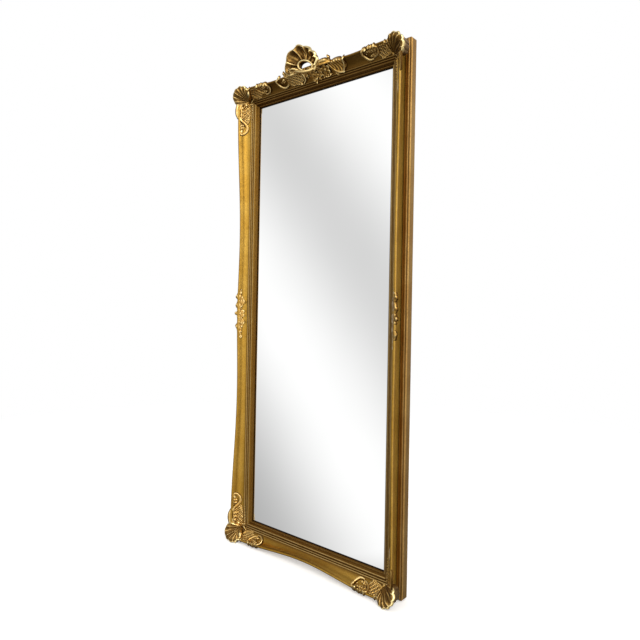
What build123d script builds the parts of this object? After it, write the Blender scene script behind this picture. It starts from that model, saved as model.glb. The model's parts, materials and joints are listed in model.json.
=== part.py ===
from build123d import *
import os
from math import atan2, cos, degrees, hypot, pi, radians, sin

os.makedirs("parts", exist_ok=True)

# ---------------------------------------------------------------------------
# Driving dimensions, in millimetres.
# X runs across the mirror, Z runs up from the floor, and the glass faces -Y.
# ---------------------------------------------------------------------------
SIGHT_WIDTH = 574.0        # width of glass that shows
SIGHT_HEIGHT = 1500.0      # height of glass that shows
SIGHT_BOTTOM = 70.0        # lowest visible glass, above the floor
FRONT_DEPTH = 76.0         # glass face to the foremost ornament
BACK_DEPTH = 26.0          # glass face to the back of the easel frame
GLASS_Y = (FRONT_DEPTH - BACK_DEPTH) / 2

# The swept front moulding: how far its lip stands out from the sight edge, and
# how far it stands forward of the glass, at the middle, waist and corners.
STILE_OUT = (52.5, 49.5, 60.0)
STILE_UP = (50.0, 47.0, 57.0)
TOP_OUT = (64.0, 57.0, 60.0)
TOP_UP = (54.0, 52.0, 57.0)
BOTTOM_OUT = (46.0, 46.0, 60.0)
BOTTOM_UP = (48.0, 48.0, 57.0)
STILE_WAIST = 270.0        # distance of the waists from the middle of a side
TOP_WAIST = 165.0
BOTTOM_WAIST = 1.0
BACK_OUT = 35.0            # outer face of the moulding at its back
FRAME_BACK = 10.0          # glass face to the back of the front frame
REBATE = 8.0               # width of the rebate that holds the glass
STATIONS = 16              # spans of each swept moulding
COVE_SAG = 0.17            # hollow of the cove, as a share of its width

GLASS_THICK = 4.0
BOARD_THICK = 3.0
BEAD_THICK = FRAME_BACK - GLASS_THICK - BOARD_THICK
BEAD_WIDTH = 6.0
GLASS_PLAY = 2.0           # between the glass edge and the rebate

# The easel: a second frame folded flat behind the first, hinged at the top.
EASEL_GAP = 3.0            # between the two frames, where the hinge leaves lie
EASEL_FRONT = FRAME_BACK + EASEL_GAP
EASEL_INNER = 306.0        # half-width inside its stiles
EASEL_WALL = 325.5         # half-width inside its moulded outer part
EASEL_OUTER = 349.5        # half-width over all
EASEL_TOP = 1645.0
PAD_THICK = 3.0
FOLD_LIMIT = 14.0          # degrees that the easel swings open
TENON_LENGTH = 18.0
TENON_THICK = 7.0
TENON_INSET = 8.0

HINGE_X = 180.0
HINGE_WIDTH = 60.0
HINGE_DROP = 34.0          # leaf height below the barrel
LEAF_THICK = 1.4
BARREL_R = 4.0
PIN_R = 2.0
PIN_PLAY = 0.05
KNUCKLE_GAP = 0.3

STAY_HEIGHT = 710.0        # pivot of each stay above the floor
STUD_RISE = 40.0           # easel stud above the pivot, closed
STAY_WIDTH = 13.0
STAY_THICK = 2.5
STAY_DEPTH = 18.0          # glass face back to the pivot
STUD_DEPTH = 19.5          # glass face back to the easel stud
STUD_R = 3.0

HALF_W = SIGHT_WIDTH / 2
HALF_H = SIGHT_HEIGHT / 2
MID_Z = SIGHT_BOTTOM + HALF_H
SIGHT_TOP = SIGHT_BOTTOM + SIGHT_HEIGHT
HINGE_Z = SIGHT_TOP + BACK_OUT + BARREL_R + 2.5
HINGE_DEPTH = FRAME_BACK + EASEL_GAP / 2


def block(x0, x1, depth0, depth1, z0, z1):
    """A box between two X, two depths behind the glass face, and two heights."""
    size = Box(abs(x1 - x0), abs(depth1 - depth0), abs(z1 - z0))
    return Pos((x0 + x1) / 2, GLASS_Y + (depth0 + depth1) / 2, (z0 + z1) / 2) * size


def rod(radius, start, end):
    """A straight round bar between two points."""
    first = Vector(*start)
    line = Vector(*end) - first
    return Plane(first, z_dir=line) * Pos(0, 0, line.length / 2) * Cylinder(radius, line.length)


def mirrored(shape):
    return mirror(shape, about=Plane.YZ)


def largest(shape):
    """The main solid of a trimmed shape, without the crumbs of the cut."""
    return sorted(shape.solids(), key=lambda solid: solid.volume)[-1]


# ---------------------------------------------------------------------------
# The front frame: four swept mouldings, mitred at the corners
# ---------------------------------------------------------------------------
class Side:
    """One side of the frame: its middle, its outward and lengthwise directions."""

    def __init__(self, middle, outward, along, half, waist, out, up):
        self.middle = Vector(*middle)
        self.outward = Vector(*outward)
        self.along = Vector(*along)
        self.half = half
        self.waist = waist
        self.out = out
        self.up = up

    def plane(self, distance):
        """Section plane: x is outward from the sight edge, y is forward."""
        return Plane(self.middle + self.along * distance, x_dir=self.outward, z_dir=self.along)

    def lip(self, distance, sizes):
        """Lip size along the side: a swell at mid-length, a waist, then the corner."""
        at_middle, at_waist, at_corner = sizes
        reach = min(abs(distance), self.half)
        if reach < self.waist:
            share = (1 + cos(pi * reach / self.waist)) / 2
            return at_waist + (at_middle - at_waist) * share
        share = (1 - cos(pi * (reach - self.waist) / (self.half - self.waist))) / 2
        return at_waist + (at_corner - at_waist) * share


SIDES = {
    "left_stile": Side((-HALF_W, GLASS_Y, MID_Z), (-1, 0, 0), (0, 0, 1),
                       HALF_H, STILE_WAIST, STILE_OUT, STILE_UP),
    "right_stile": Side((HALF_W, GLASS_Y, MID_Z), (1, 0, 0), (0, 0, -1),
                        HALF_H, STILE_WAIST, STILE_OUT, STILE_UP),
    "top_rail": Side((0, GLASS_Y, SIGHT_TOP), (0, 0, 1), (1, 0, 0),
                     HALF_W, TOP_WAIST, TOP_OUT, TOP_UP),
    "bottom_rail": Side((0, GLASS_Y, SIGHT_BOTTOM), (0, 0, -1), (-1, 0, 0),
                        HALF_W, BOTTOM_WAIST, BOTTOM_OUT, BOTTOM_UP),
}


def moulding_section(out, up):
    """Section of the swept moulding, from the glass out to its lip and back."""
    edges = [
        Line((0, 0), (0, 4)),                                      # sight edge
        ThreePointArc((0, 4), (2.3, 6.6), (5, 6)),                 # sight bead
        Line((5, 6), (7, 9)),
        ThreePointArc((7, 9), (9.2, 13.6), (14, 15.5)),            # ovolo
        Line((14, 15.5), (15.5, 14)),
        Line((15.5, 14), (17, 17)),                                # fillet
        Line((17, 17), (20, 18)),
        Line((20, 18), (21.5, 16.5)),                              # quirk
        ThreePointArc((21.5, 16.5), (23.5, 20.3), (27, 20.5)),     # cove bead
    ]
    lip_in = (out - 8, up - 2.5)
    run = (lip_in[0] - 27, lip_in[1] - 20.5)
    hollow = (27 + run[0] / 2 + COVE_SAG * run[1], 20.5 + run[1] / 2 - COVE_SAG * run[0])
    edges.append(ThreePointArc((27, 20.5), hollow, lip_in))        # the wide cove
    edges.append(ThreePointArc(lip_in, (out - 3, up), (out, up - 4)))
    foot = (BACK_OUT + 0.5, 6)
    flank = ((out + foot[0]) / 2 - 2.2, (up - 4 + foot[1]) / 2 + 1.2)
    edges.append(ThreePointArc((out, up - 4), flank, foot))        # hollow outer flank
    edges.append(Line(foot, (BACK_OUT, 4)))
    edges.append(Line((BACK_OUT, 4), (BACK_OUT, -FRAME_BACK)))
    edges.append(Line((BACK_OUT, -FRAME_BACK), (REBATE, -FRAME_BACK)))
    edges.append(Line((REBATE, -FRAME_BACK), (REBATE, 0)))         # glass rebate
    edges.append(Line((REBATE, 0), (0, 0)))
    return make_face(edges)


WEDGE_INNER = -20.0        # the room of one side, outward from its sight edge
WEDGE_OUTER = 120.0
WEDGE_DEPTH = 300.0


def mitre_wedge(side):
    """The room of one side: a flat prism with 45 degree ends."""
    corners = []
    for offset, sign in ((WEDGE_INNER, -1), (WEDGE_INNER, 1), (WEDGE_OUTER, 1), (WEDGE_OUTER, -1)):
        spot = side.middle + side.outward * offset + side.along * (sign * (side.half + offset))
        corners.append((spot.X, spot.Z))
    outline = Plane.XZ * make_face(Polyline(*corners, close=True))
    return Pos(0, WEDGE_DEPTH / 2, 0) * extrude(outline, WEDGE_DEPTH)


def swept_moulding(side):
    reach = side.half + WEDGE_OUTER + 10
    sections = []
    for step in range(STATIONS + 1):
        distance = -reach + 2 * reach * step / STATIONS
        size = moulding_section(side.lip(distance, side.out), side.lip(distance, side.up))
        sections.append(side.plane(distance) * size)
    return largest(loft(sections) & mitre_wedge(side))


rails = {name: swept_moulding(side) for name, side in SIDES.items()}

# ---------------------------------------------------------------------------
# Glass, backing and the strips that hold them
# ---------------------------------------------------------------------------
pane_x = HALF_W + REBATE - GLASS_PLAY
pane_low = SIGHT_BOTTOM - REBATE + GLASS_PLAY
pane_high = SIGHT_TOP + REBATE - GLASS_PLAY
board_back = GLASS_THICK + BOARD_THICK
mirror_glass = block(-pane_x, pane_x, 0, GLASS_THICK, pane_low, pane_high)
backing_board = block(-pane_x, pane_x, GLASS_THICK, board_back, pane_low, pane_high)

bead_x = HALF_W + REBATE
bead_low = SIGHT_BOTTOM - REBATE
bead_high = SIGHT_TOP + REBATE
backing_beads = [
    block(-bead_x, bead_x, board_back, FRAME_BACK, bead_low, bead_low + BEAD_WIDTH),
    block(-bead_x, bead_x, board_back, FRAME_BACK, bead_high - BEAD_WIDTH, bead_high),
]
for sign in (-1, 1):
    backing_beads.append(block(sign * bead_x, sign * (bead_x - BEAD_WIDTH), board_back, FRAME_BACK,
                               bead_low + BEAD_WIDTH, bead_high - BEAD_WIDTH))

PIN_NAIL_R = 0.7
NAIL_LENGTH = 14.0
NAIL_INSET = 120.0         # end of a long strip to its first pin
LONG_STRIP_PINS = 5
SHORT_STRIP_PINS = (-150.0, 0.0, 150.0)
nail_y = GLASS_Y + board_back + BEAD_THICK / 2
bead_pins = []
for sign in (-1, 1):
    for step in range(LONG_STRIP_PINS):
        share = step / (LONG_STRIP_PINS - 1)
        height = bead_low + NAIL_INSET + (bead_high - bead_low - 2 * NAIL_INSET) * share
        start = sign * (bead_x - BEAD_WIDTH)
        bead_pins.append(rod(PIN_NAIL_R, (start, nail_y, height),
                             (start + sign * NAIL_LENGTH, nail_y, height)))
    for across in SHORT_STRIP_PINS:
        edge = bead_high - BEAD_WIDTH if sign > 0 else bead_low + BEAD_WIDTH
        bead_pins.append(rod(PIN_NAIL_R, (across, nail_y, edge),
                             (across, nail_y, edge + sign * NAIL_LENGTH)))

# ---------------------------------------------------------------------------
# Steel plates across the mitres, with their screws
# ---------------------------------------------------------------------------
PLATE_THICK = 1.5
PLATE_WIDTH = 14.0
PLATE_LEG = 78.0
PLATE_EDGE = 5.0           # in from the frame's outer back edge
PLATE_SCREWS = (30.0, 68.0)
SCREW_R = 1.6
HEAD_R = 3.2
HEAD_DEPTH = 1.2
SINK_DEPTH = 1.35          # depth of a countersink
SCREW_LENGTH = 13.0


def wood_screw(x, z, surface):
    """A countersunk screw, driven forward from a plate's back surface."""
    head_y = GLASS_Y + surface - 0.1
    shank = rod(SCREW_R, (x, head_y, z), (x, head_y - SCREW_LENGTH, z))
    head = Plane((x, head_y - HEAD_DEPTH / 2, z), z_dir=(0, -1, 0)) * Cone(HEAD_R, SCREW_R, HEAD_DEPTH)
    slot = Pos(x, head_y, z) * Box(2 * HEAD_R, 0.8, 0.8)
    return largest(shank + head - slot)


def screw_hole(x, z, surface):
    """Room for a wood_screw: a hair wider than the screw all round."""
    head_y = GLASS_Y + surface
    shank = rod(SCREW_R + 0.05, (x, head_y, z), (x, head_y - SCREW_LENGTH - 0.3, z))
    middle = Plane((x, head_y - SINK_DEPTH / 2, z), z_dir=(0, -1, 0))
    return shank + middle * Cone(HEAD_R + 0.3, SCREW_R + 0.1, SINK_DEPTH)


corner_plates = []
plate_screw_spots = []
for x_sign in (-1, 1):
    for z_sign in (-1, 1):
        edge_x = x_sign * (HALF_W + BACK_OUT - PLATE_EDGE)
        edge_z = MID_Z + z_sign * (HALF_H + BACK_OUT - PLATE_EDGE)
        upright = block(edge_x, edge_x - x_sign * PLATE_WIDTH, FRAME_BACK, FRAME_BACK + PLATE_THICK,
                        edge_z, edge_z - z_sign * PLATE_LEG)
        level = block(edge_x, edge_x - x_sign * PLATE_LEG, FRAME_BACK, FRAME_BACK + PLATE_THICK,
                      edge_z, edge_z - z_sign * PLATE_WIDTH)
        corner_plates.append(largest(upright + level))
        for along in PLATE_SCREWS:
            plate_screw_spots.append((edge_x - x_sign * PLATE_WIDTH / 2, edge_z - z_sign * along))
            plate_screw_spots.append((edge_x - x_sign * along, edge_z - z_sign * PLATE_WIDTH / 2))

plate_surface = FRAME_BACK + PLATE_THICK
corner_plate_screws = [wood_screw(x, z, plate_surface) for x, z in plate_screw_spots]
plate_holes = [screw_hole(x, z, plate_surface) for x, z in plate_screw_spots]
corner_plates = [plate - plate_holes for plate in corner_plates]

# ---------------------------------------------------------------------------
# Gilt ornaments, cast to sit on the moulding
# ---------------------------------------------------------------------------
# Section of the casting over the cove and lip; the moulding is cut out of it.
CASTING_SECTION = [(22.5, 17), (23.5, 26), (34, 36), (45, 57), (52, 62), (60, 61), (64, 55),
                   (61, 48), (53, 46), (46, 37), (36, 19)]
ARM_INNER = 22.0
ARM_OUTER = 66.0
STILE_ARM = 105.0          # below the glass corner
RAIL_ARM = 88.0            # in from the glass corner
SHELL_CENTRE = (50.0, 42.0)
SHELL_R = 20.0
LOBE_R = 8.0
SHELL_BACK = 36.0


def front_prism(outline, low, high):
    """An outline drawn in front view, given thickness between two depths."""
    return Pos(0, GLASS_Y - low, 0) * extrude(Plane.XZ * outline, high - low)


def casting_bar(side, start, end, shift=0.0):
    """The casting's section run along a side between two distances."""
    points = [(u + shift, d) for u, d in CASTING_SECTION]
    bar = extrude(side.plane(start) * make_face(Polyline(*points, close=True)), end - start)
    return bar


def on_moulding(shape):
    """Hollow the back of a casting so that it beds on the mouldings."""
    for rail in rails.values():
        shape = shape - rail
    return largest(shape)


def corner_ornament(x_sign, z_sign):
    """A fan shell on the mitre, with an arm along each side."""
    upright = SIDES["right_stile"] if x_sign > 0 else SIDES["left_stile"]
    level = SIDES["top_rail"] if z_sign > 0 else SIDES["bottom_rail"]
    up_way = upright.along.Z * z_sign
    across_way = level.along.X * x_sign
    stile_ends = sorted((up_way * (HALF_H - STILE_ARM), up_way * (HALF_H + ARM_OUTER)))
    rail_ends = sorted((across_way * (HALF_W - RAIL_ARM), across_way * (HALF_W + ARM_OUTER)))
    stile_arm = casting_bar(upright, *stile_ends) & mitre_wedge(upright)
    rail_arm = casting_bar(level, *rail_ends) & mitre_wedge(level)
    corner_z = MID_Z + z_sign * HALF_H

    def spot(a, b):
        return Pos(x_sign * (HALF_W + a), corner_z + z_sign * b)

    shell = spot(*SHELL_CENTRE) * Circle(SHELL_R)
    for turn in range(-30, 151, 30):
        a = SHELL_CENTRE[0] + SHELL_R * cos(radians(turn))
        b = SHELL_CENTRE[1] + SHELL_R * sin(radians(turn))
        shell += spot(a, b) * Circle(LOBE_R)
    body = stile_arm + rail_arm + front_prism(shell, SHELL_BACK, FRONT_DEPTH)
    return on_moulding(body)


# The crest shell, placed across the frame and above the sight edge.
CREST_SHELL = ((-38, 88), (66, 44))          # middle and half-sizes of the shell
CREST_LOBES = ((-96, 88), (-84, 113), (-60, 129), (-30, 126), (-2, 111), (20, 91))
CREST_LOBE_R = 16.0
CREST_FOOT = ((-18, 48), (44, 22))
CREST_HOLE = ((-20, 66), (27, 11))
CREST_HOLE_TILT = -20.0
CREST_DEPTHS = (44.0, 62.0)                  # forward of the glass
CARTOUCHE_MIDDLES = (-93.0, 90.0)
CARTOUCHE_HALF_WIDTH = 48.0
CARTOUCHE_RISE = 42.0
CARTOUCHE_HEIGHT = 56.0
SPRAY_HALF_LENGTH = 87.0
SPRAY_HALF_WIDTH = 19.0
SPRAY_OUT = 42.0                             # sight edge to the spray's middle
CASTING_DEPTHS = (10.0, 70.0)


def on_top_rail(place):
    return Pos(place[0], SIGHT_TOP + place[1])


def crest_shell():
    """The pierced shell that stands on the middle of the top rail."""
    outline = on_top_rail(CREST_SHELL[0]) * Ellipse(*CREST_SHELL[1])
    for lobe in CREST_LOBES:
        outline += on_top_rail(lobe) * Circle(CREST_LOBE_R)
    outline += on_top_rail(CREST_FOOT[0]) * Ellipse(*CREST_FOOT[1])
    outline -= on_top_rail(CREST_HOLE[0]) * Rot(0, 0, CREST_HOLE_TILT) * Ellipse(*CREST_HOLE[1])
    return on_moulding(front_prism(outline, *CREST_DEPTHS))


def crest_cartouche(middle):
    """A medallion beside the shell, lying in the cove."""
    half = CARTOUCHE_HALF_WIDTH
    bar = casting_bar(SIDES["top_rail"], middle - half, middle + half, 3.0)
    outline = on_top_rail((middle, CARTOUCHE_RISE)) * SlotOverall(2 * half, CARTOUCHE_HEIGHT)
    return on_moulding(bar & front_prism(outline, *CASTING_DEPTHS))


def side_spray(side):
    """The small leaf spray at mid-height of a stile."""
    bar = casting_bar(side, -SPRAY_HALF_LENGTH, SPRAY_HALF_LENGTH, -6.5)
    middle = side.middle.X + side.outward.X * SPRAY_OUT
    outline = Pos(middle, MID_Z) * Ellipse(SPRAY_HALF_WIDTH, SPRAY_HALF_LENGTH)
    return on_moulding(bar & front_prism(outline, *CASTING_DEPTHS))


crest_shell_solid = crest_shell()
crest_left, crest_right = (on_moulding(crest_cartouche(middle) - crest_shell_solid)
                           for middle in CARTOUCHE_MIDDLES)

# ---------------------------------------------------------------------------
# Hinges at the top, between the front frame and the easel
# ---------------------------------------------------------------------------
front_leaf_back = FRAME_BACK + LEAF_THICK
rear_leaf_front = EASEL_FRONT - LEAF_THICK
hinge_y = GLASS_Y + HINGE_DEPTH
knuckle = HINGE_WIDTH / 3
LEAF_TOP = HINGE_Z - 0.5
leaf_screw_z = HINGE_Z - HINGE_DROP + 11
PIN_HEAD = 1.2             # the pin's heads: their thickness, and their overhang
REAR_SCREW_LENGTH = 10.0


def barrel(x0, x1):
    tube = rod(BARREL_R, (x0, hinge_y, HINGE_Z), (x1, hinge_y, HINGE_Z))
    return tube - rod(PIN_R + PIN_PLAY, (x0 - 1, hinge_y, HINGE_Z), (x1 + 1, hinge_y, HINGE_Z))


def front_leaf(x):
    """Leaf on the front frame, with the two outer knuckles."""
    low, high = x - HINGE_WIDTH / 2, x + HINGE_WIDTH / 2
    plate = block(low, high, FRAME_BACK, front_leaf_back, HINGE_Z - HINGE_DROP, LEAF_TOP)
    plate -= block(x - knuckle / 2 - KNUCKLE_GAP, x + knuckle / 2 + KNUCKLE_GAP,
                   FRAME_BACK - 1, front_leaf_back + 1, HINGE_Z - BARREL_R - 1, LEAF_TOP + 1)
    bore = rod(PIN_R + PIN_PLAY, (low - 1, hinge_y, HINGE_Z), (high + 1, hinge_y, HINGE_Z))
    plate += barrel(low, x - knuckle / 2) + barrel(x + knuckle / 2, high)
    return largest(plate - bore)


def rear_leaf(x):
    """Leaf on the easel, with the middle knuckle."""
    low, high = x - HINGE_WIDTH / 2, x + HINGE_WIDTH / 2
    plate = block(low, high, rear_leaf_front, EASEL_FRONT, HINGE_Z - HINGE_DROP, LEAF_TOP)
    for edge, sign in ((low, -1), (high, 1)):
        plate -= block(edge + sign, edge - sign * (knuckle + KNUCKLE_GAP), rear_leaf_front - 1,
                       EASEL_FRONT + 1, HINGE_Z - BARREL_R - 1, LEAF_TOP + 1)
    bore = rod(PIN_R + PIN_PLAY, (low, hinge_y, HINGE_Z), (high, hinge_y, HINGE_Z))
    middle = barrel(x - knuckle / 2 + KNUCKLE_GAP, x + knuckle / 2 - KNUCKLE_GAP)
    return largest(plate + middle - bore)


def hinge_pin(x):
    half = HINGE_WIDTH / 2
    body = rod(PIN_R, (x - half, hinge_y, HINGE_Z), (x + half, hinge_y, HINGE_Z))
    for sign in (-1, 1):
        body += rod(PIN_R + PIN_HEAD, (x + sign * half, hinge_y, HINGE_Z),
                    (x + sign * (half + PIN_HEAD), hinge_y, HINGE_Z))
    return largest(body)


def rear_screw(x, z):
    """A screw driven back from the front leaf side into the easel."""
    head_y = GLASS_Y + rear_leaf_front + 0.1
    shank = rod(SCREW_R, (x, head_y, z), (x, head_y + REAR_SCREW_LENGTH, z))
    middle = Plane((x, head_y + HEAD_DEPTH / 2, z), z_dir=(0, 1, 0))
    return largest(shank + middle * Cone(HEAD_R, SCREW_R, HEAD_DEPTH))


def rear_screw_hole(x, z):
    head_y = GLASS_Y + rear_leaf_front
    shank = rod(SCREW_R + 0.05, (x, head_y, z), (x, head_y + REAR_SCREW_LENGTH + 0.4, z))
    middle = Plane((x, head_y + SINK_DEPTH / 2, z), z_dir=(0, 1, 0))
    return shank + middle * Cone(HEAD_R + 0.3, SCREW_R + 0.1, SINK_DEPTH)


leaf_screw_spots = []
for sign in (-1, 1):
    for offset in (-knuckle, 0, knuckle):
        leaf_screw_spots.append((sign * HINGE_X + offset, leaf_screw_z))
front_leaf_holes = [screw_hole(x, z, front_leaf_back) for x, z in leaf_screw_spots]
rear_leaf_holes = [rear_screw_hole(x, z) for x, z in leaf_screw_spots]
front_leaf_screws = [wood_screw(x, z, front_leaf_back) for x, z in leaf_screw_spots]
rear_leaf_screws = [rear_screw(x, z) for x, z in leaf_screw_spots]

# ---------------------------------------------------------------------------
# The easel frame
# ---------------------------------------------------------------------------
def easel_stile_section():
    """Plan section: a flat inner part behind the mirror, a moulded outer part."""
    edges = [
        Line((EASEL_INNER, -BACK_DEPTH), (EASEL_INNER, -EASEL_FRONT)),
        Line((EASEL_INNER, -EASEL_FRONT), (EASEL_WALL, -EASEL_FRONT)),
        Line((EASEL_WALL, -EASEL_FRONT), (EASEL_WALL, -2.5)),
        ThreePointArc((EASEL_WALL, -2.5), (330.8, -1.6), (335.5, 1.5)),     # shallow cove
        Line((335.5, 1.5), (336.5, 0)),
        ThreePointArc((336.5, 0), (339.8, 4.6), (343, 1)),                  # bead
        Line((343, 1), (344, 0)),
        ThreePointArc((344, 0), (348.2, -1.2), (EASEL_OUTER, -5.5)),        # outer ovolo
        Line((EASEL_OUTER, -5.5), (EASEL_OUTER, -20)),
        ThreePointArc((EASEL_OUTER, -20), (348.6, -24.2), (345.5, -BACK_DEPTH)),
        Line((345.5, -BACK_DEPTH), (EASEL_INNER, -BACK_DEPTH)),
    ]
    return make_face(edges)


def easel_rail(z0, z1, tenon_z0, tenon_z1):
    """A plain rail between the easel's stiles, with a tenon at each end."""
    rail = block(-EASEL_INNER, EASEL_INNER, EASEL_FRONT, BACK_DEPTH, z0, z1)
    middle = (EASEL_FRONT + BACK_DEPTH) / 2
    reach = EASEL_INNER + TENON_LENGTH - 0.5
    rail += block(-reach, reach, middle - TENON_THICK / 2, middle + TENON_THICK / 2, tenon_z0, tenon_z1)
    return rail


def mortises(tenon_z0, tenon_z1):
    middle = (EASEL_FRONT + BACK_DEPTH) / 2
    play = 0.15
    reach = EASEL_INNER + TENON_LENGTH
    return block(-reach, reach, middle - TENON_THICK / 2 - play, middle + TENON_THICK / 2 + play,
                 tenon_z0 - play, tenon_z1 + play)


EASEL_RAILS = {            # heights of each rail's lower and upper edge
    "easel_top_rail": (SIGHT_TOP - 15, EASEL_TOP),
    "easel_middle_rail": (930.0, 980.0),
    "easel_bottom_rail": (40.0, 100.0),
}
EASEL_ROUND = 8.0          # rounding of the stiles' ends
EASEL_NOSE = -4.0          # foremost depth of a stile, behind the glass face
PAD_SPAN = (328.0, 341.0)  # distances of a pad's edges from the middle of the mirror
PAD_DEPTHS = (5.0, 25.0)


def easel_stile():
    """The right stile, its ends rounded at the front and at the outer side."""
    section = mirror(easel_stile_section(), about=Plane.XZ)
    height = EASEL_TOP - PAD_THICK
    bar = Pos(0, GLASS_Y, PAD_THICK) * extrude(section, height)
    middle_z = PAD_THICK + height / 2
    view_back = BACK_DEPTH + EASEL_ROUND
    side_view = RectangleRounded(view_back - EASEL_NOSE, height, EASEL_ROUND)
    middle_y = GLASS_Y + (view_back + EASEL_NOSE) / 2
    bar &= extrude(Plane.YZ * Pos(middle_y, middle_z) * side_view, 2 * EASEL_OUTER)
    front_view = RectangleRounded(2 * EASEL_OUTER, height, EASEL_ROUND)
    return bar & (Pos(0, WEDGE_DEPTH / 2, 0) * extrude(Plane.XZ * Pos(0, middle_z) * front_view, WEDGE_DEPTH))


easel_nodes = {}
right_easel_stile = easel_stile()
for name, (low, high) in EASEL_RAILS.items():
    tenon_top = min(high - TENON_INSET, HINGE_Z - BARREL_R - 3)
    easel_nodes[name] = easel_rail(low, high, low + TENON_INSET, tenon_top)
    right_easel_stile = right_easel_stile - mortises(low + TENON_INSET, tenon_top)

# The top rail is thinner above the hinge barrels, which turn in front of it.
relief = block(-EASEL_INNER - 1, EASEL_INNER + 1, EASEL_FRONT - 1, EASEL_FRONT + 4,
               SIGHT_TOP + BACK_OUT, EASEL_TOP + 1)
easel_nodes["easel_top_rail"] = easel_nodes["easel_top_rail"] - relief - rear_leaf_holes

easel_pads = []
for sign in (-1, 1):
    easel_pads.append(block(sign * PAD_SPAN[0], sign * PAD_SPAN[1], *PAD_DEPTHS, 0, PAD_THICK))

# ---------------------------------------------------------------------------
# Hook stays that hold the easel open
# ---------------------------------------------------------------------------
STAY_OUTER = 294.8         # outer face of each stay arm
EAR_INNER = 295.5          # inner face of the bracket's ear
EAR_THICK = 2.0
BRACKET_OUTER = 304.5
BRACKET_HALF = 30.0
BRACKET_SCREW_LIFT = 21.0
EAR_HALF = 7.0
PIVOT_R = 2.5
RIVET_HEAD_R = 4.2
RIVET_HEAD = 1.4
STUD_SINK = 12.0           # length of the stud in the stile
PLAY = 0.4

# Where the easel's stud stands when the easel is fully open, seen from the pivot.
fold = radians(FOLD_LIMIT)
stud_back = STUD_DEPTH - HINGE_DEPTH
stud_down = HINGE_Z - STAY_HEIGHT - STUD_RISE
open_back = stud_back * cos(fold) + stud_down * sin(fold) - (STAY_DEPTH - HINGE_DEPTH)
open_rise = stud_back * sin(fold) - stud_down * cos(fold) + (HINGE_Z - STAY_HEIGHT)
STAY_REACH = hypot(open_back, open_rise)
STAY_LIMIT = 90 + degrees(atan2(open_rise, open_back))
print(f"stay reach {STAY_REACH:.2f} mm, swing {STAY_LIMIT:.2f} degrees")

stay_y = GLASS_Y + STAY_DEPTH
stud_y = GLASS_Y + STUD_DEPTH


def stay_arm():
    """A flat bar that hangs from its pivot, with a notch in its front edge."""
    outline = Pos(stay_y, STAY_HEIGHT - STAY_REACH / 2) * Rot(0, 0, 90) * SlotCenterToCenter(
        STAY_REACH, STAY_WIDTH)
    notch_r = STUD_R + PLAY
    hook = Pos(stay_y, STAY_HEIGHT - STAY_REACH)
    outline -= hook * Circle(notch_r)
    outline -= hook * Pos(-STAY_WIDTH / 2, 0) * Rectangle(STAY_WIDTH, 2 * notch_r)
    outline -= Pos(stay_y, STAY_HEIGHT) * Circle(PIVOT_R + PIN_PLAY)
    inner = STAY_OUTER - STAY_THICK
    return largest(Pos(inner, 0, 0) * extrude(Plane.YZ * outline, STAY_THICK))


def stay_bracket():
    """An angle bracket: a base on the frame's back, and an ear for the pivot."""
    base = block(EAR_INNER, BRACKET_OUTER, FRAME_BACK, FRAME_BACK + PLATE_THICK,
                 STAY_HEIGHT - BRACKET_HALF, STAY_HEIGHT + BRACKET_HALF)
    ear = block(EAR_INNER, EAR_INNER + EAR_THICK, FRAME_BACK, STAY_DEPTH,
                STAY_HEIGHT - EAR_HALF, STAY_HEIGHT + EAR_HALF)
    ear += rod(EAR_HALF, (EAR_INNER, stay_y, STAY_HEIGHT), (EAR_INNER + EAR_THICK, stay_y, STAY_HEIGHT))
    bore = rod(PIVOT_R + PIN_PLAY, (EAR_INNER - 1, stay_y, STAY_HEIGHT),
               (EAR_INNER + 2 * EAR_THICK, stay_y, STAY_HEIGHT))
    return largest(base + ear - bore)


def stay_rivet():
    """The rivet that the arm turns on, headed at both ends."""
    inner = STAY_OUTER - STAY_THICK - PLAY
    end = EAR_INNER + EAR_THICK
    body = rod(PIVOT_R, (inner, stay_y, STAY_HEIGHT), (end, stay_y, STAY_HEIGHT))
    for face, way in ((inner, -1), (end, 1)):
        body += rod(RIVET_HEAD_R, (face, stay_y, STAY_HEIGHT),
                    (face + way * RIVET_HEAD, stay_y, STAY_HEIGHT))
    return largest(body)


def stay_stud():
    """The headed stud on the easel that the notch drops over."""
    height = STAY_HEIGHT + STUD_RISE
    inner = STAY_OUTER - STAY_THICK - 1
    body = rod(STUD_R, (inner, stud_y, height), (EASEL_INNER + STUD_SINK, stud_y, height))
    body += rod(STUD_R + 2, (inner, stud_y, height), (inner - 1.5, stud_y, height))
    body += rod(STUD_R + 1.5, (EASEL_INNER - 1.5, stud_y, height), (EASEL_INNER, stud_y, height))
    return largest(body)


bracket_screw_x = (EAR_INNER + EAR_THICK + BRACKET_OUTER) / 2 + 0.1
bracket_spots = []
for sign in (-1, 1):
    for lift in (-BRACKET_SCREW_LIFT, BRACKET_SCREW_LIFT):
        bracket_spots.append((sign * bracket_screw_x, STAY_HEIGHT + lift))
bracket_holes = [screw_hole(x, z, plate_surface) for x, z in bracket_spots]
stay_bracket_screws = [wood_screw(x, z, plate_surface) for x, z in bracket_spots]

stud_bore = rod(STUD_R + 0.05, (EASEL_INNER - 1, stud_y, STAY_HEIGHT + STUD_RISE),
                (EASEL_INNER + STUD_SINK + 0.4, stud_y, STAY_HEIGHT + STUD_RISE))
right_easel_stile = largest(right_easel_stile - stud_bore)

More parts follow.
